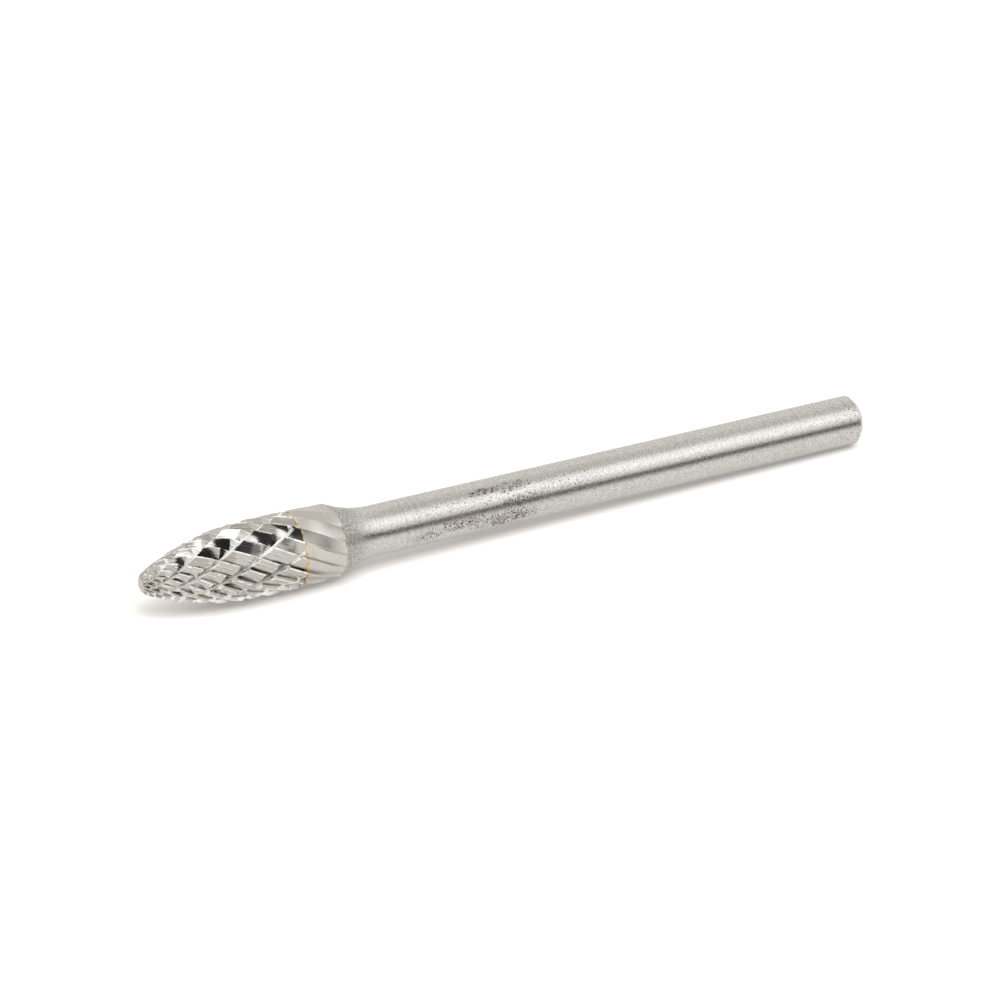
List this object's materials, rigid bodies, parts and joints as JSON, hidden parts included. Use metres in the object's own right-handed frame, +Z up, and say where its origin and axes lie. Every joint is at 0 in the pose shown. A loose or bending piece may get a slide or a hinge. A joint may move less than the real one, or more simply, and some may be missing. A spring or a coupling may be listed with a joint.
{
  "type": "carbide burr",
  "caption": "Ball-nosed tree-shape rotary burr: double-cut carbide head brazed to a fluted steel collar on a plain round shank.",
  "frame": {"origin": "on the surface the burr lies on, under the middle of its bounding box", "axes": "+X from the tip of the head towards the free end of the shank, +Z up; the tool lies on its head and on the edge of its shank end"},
  "size_m": [0.0508, 0.0048, 0.0049],
  "materials": {
    "carbide": "ground tungsten carbide, bright facets",
    "braze": "dull heat-tinted braze",
    "steel": "fine cylindrical grinding, light stains"
  },
  "bodies": {
    "root": {"carbide_head": "carbide", "braze_joint": "braze", "shank": "steel"}
  },
  "joints": []
}
